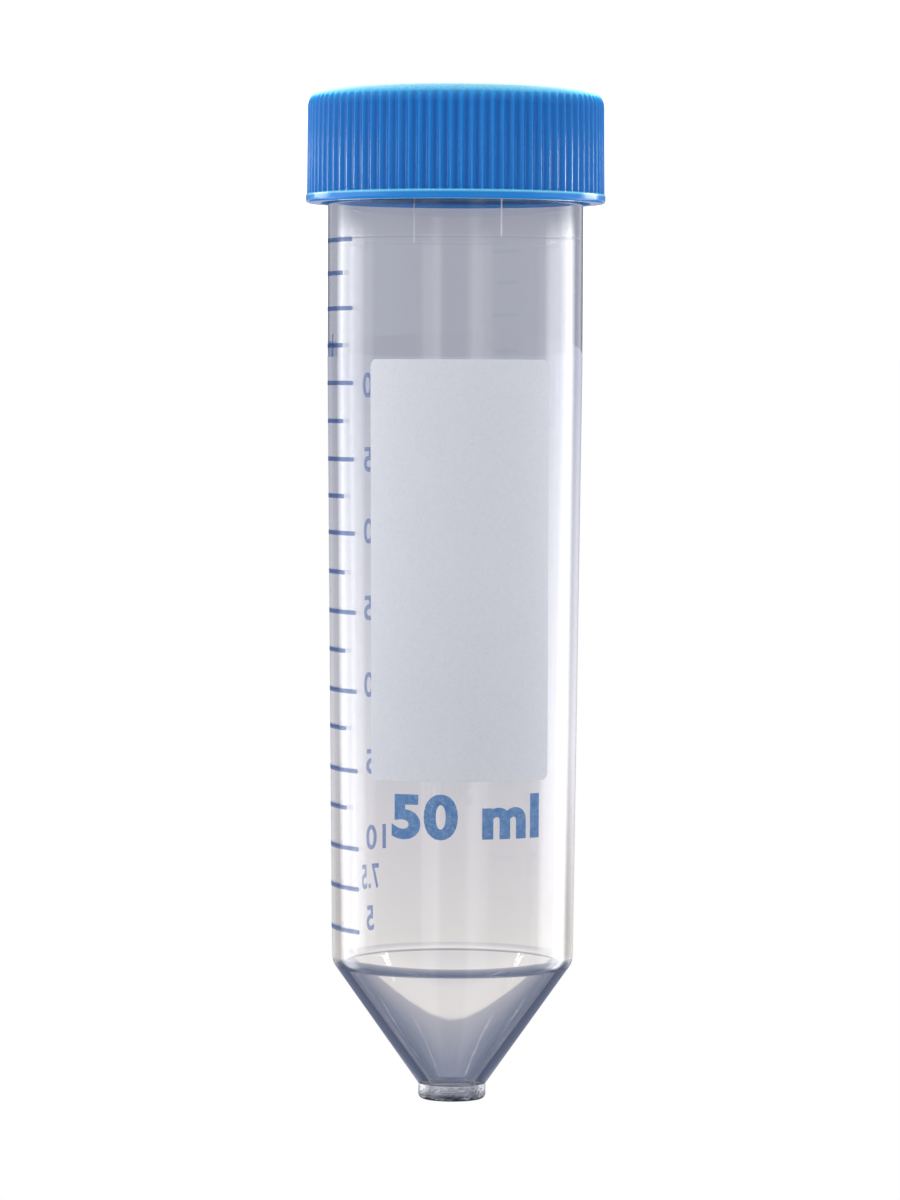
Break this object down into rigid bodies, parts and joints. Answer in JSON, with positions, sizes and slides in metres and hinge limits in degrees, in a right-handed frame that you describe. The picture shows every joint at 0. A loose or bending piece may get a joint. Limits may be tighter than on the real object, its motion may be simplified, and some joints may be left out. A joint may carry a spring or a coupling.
{
  "type": "conical centrifuge tube",
  "caption": "Clear conical-bottom lab tube with graduations, standing upside down on its fluted blue screw cap.",
  "frame": {"origin": "centre of the cap's flat top, which is the face that the closed tube stands on", "axes": "+Z along the tube's axis, from the cap's flat top to the tip of the cone"},
  "size_m": [0.0344, 0.0344, 0.1165],
  "materials": {
    "cap_plastic": "moulded blue polyolefin, satin gloss",
    "tube_plastic": "clear moulded plastic, polished"
  },
  "bodies": {
    "cap": {"cap": "cap_plastic"},
    "tube": {"tube": "tube_plastic"}
  },
  "joints": [
    {"name": "cap_lift", "type": "slide", "parent": "cap", "child": "tube", "axis": [0, 0, 1], "range_m": [0, 0.02]}
  ]
}
